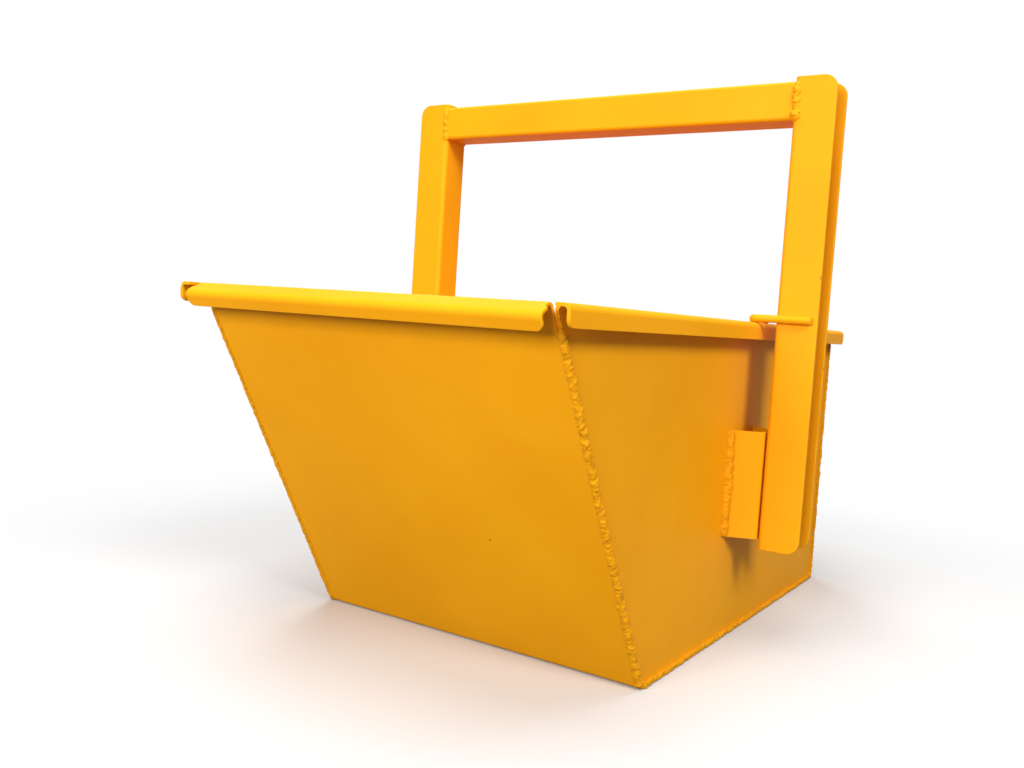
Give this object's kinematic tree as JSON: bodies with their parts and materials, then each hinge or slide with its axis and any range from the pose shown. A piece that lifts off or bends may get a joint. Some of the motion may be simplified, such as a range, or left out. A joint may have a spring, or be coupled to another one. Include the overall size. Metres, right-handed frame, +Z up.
{
  "type": "hoist bucket",
  "caption": "Open sheet-steel tub with a leaning front and folded rim, hung on pivots in a tall welded bail, for lifting and tipping loose material on a building site.",
  "frame": {"origin": "on the underside of the tub's floor, on its centre line, in the plane of the bail", "axes": "+Z up, the pouring panel faces -Y, +X to the right side that carries the stop rod"},
  "size_m": [0.54, 0.7472, 0.595],
  "materials": {
    "yellow_paint": "satin yellow paint over welded steel",
    "zinc_plate": "bright zinc plate"
  },
  "bodies": {
    "tub": {"tub_sheet": "yellow_paint", "side_panel_left": "yellow_paint", "side_panel_right": "yellow_paint", "corner_weld_left": "yellow_paint", "corner_weld_right": "yellow_paint", "pivot_bracket_left": "yellow_paint", "pivot_bracket_right": "yellow_paint", "bracket_weld_left": "yellow_paint", "bracket_weld_right": "yellow_paint", "pivot_pin_left": "zinc_plate", "pivot_pin_right": "zinc_plate", "thrust_washer_left": "zinc_plate", "thrust_washer_right": "zinc_plate", "outer_washer_left": "zinc_plate", "outer_washer_right": "zinc_plate", "split_pin_left": "zinc_plate", "split_pin_right": "zinc_plate", "stop_rod": "yellow_paint", "stop_rod_weld": "yellow_paint", "keeper_clip_front": "yellow_paint", "keeper_clip_rear": "yellow_paint"},
    "bail": {"bail_upright_left": "yellow_paint", "bail_upright_right": "yellow_paint", "pivot_boss_left": "yellow_paint", "pivot_boss_right": "yellow_paint", "bail_weld_left": "yellow_paint", "bail_weld_right": "yellow_paint", "cross_tube": "yellow_paint"},
    "keeper": {"keeper_rod": "yellow_paint", "keeper_collar": "yellow_paint"}
  },
  "joints": [
    {"name": "bail_tip", "type": "hinge", "parent": "tub", "child": "bail", "pos_m": [0, 0.005, 0.169], "axis": [-1, 0, 0], "range_deg": [0, 110]},
    {"name": "keeper_flip", "type": "hinge", "parent": "tub", "child": "keeper", "pos_m": [0.183, 0.025, 0.327], "axis": [0, 1, 0], "range_deg": [0, 193]}
  ]
}
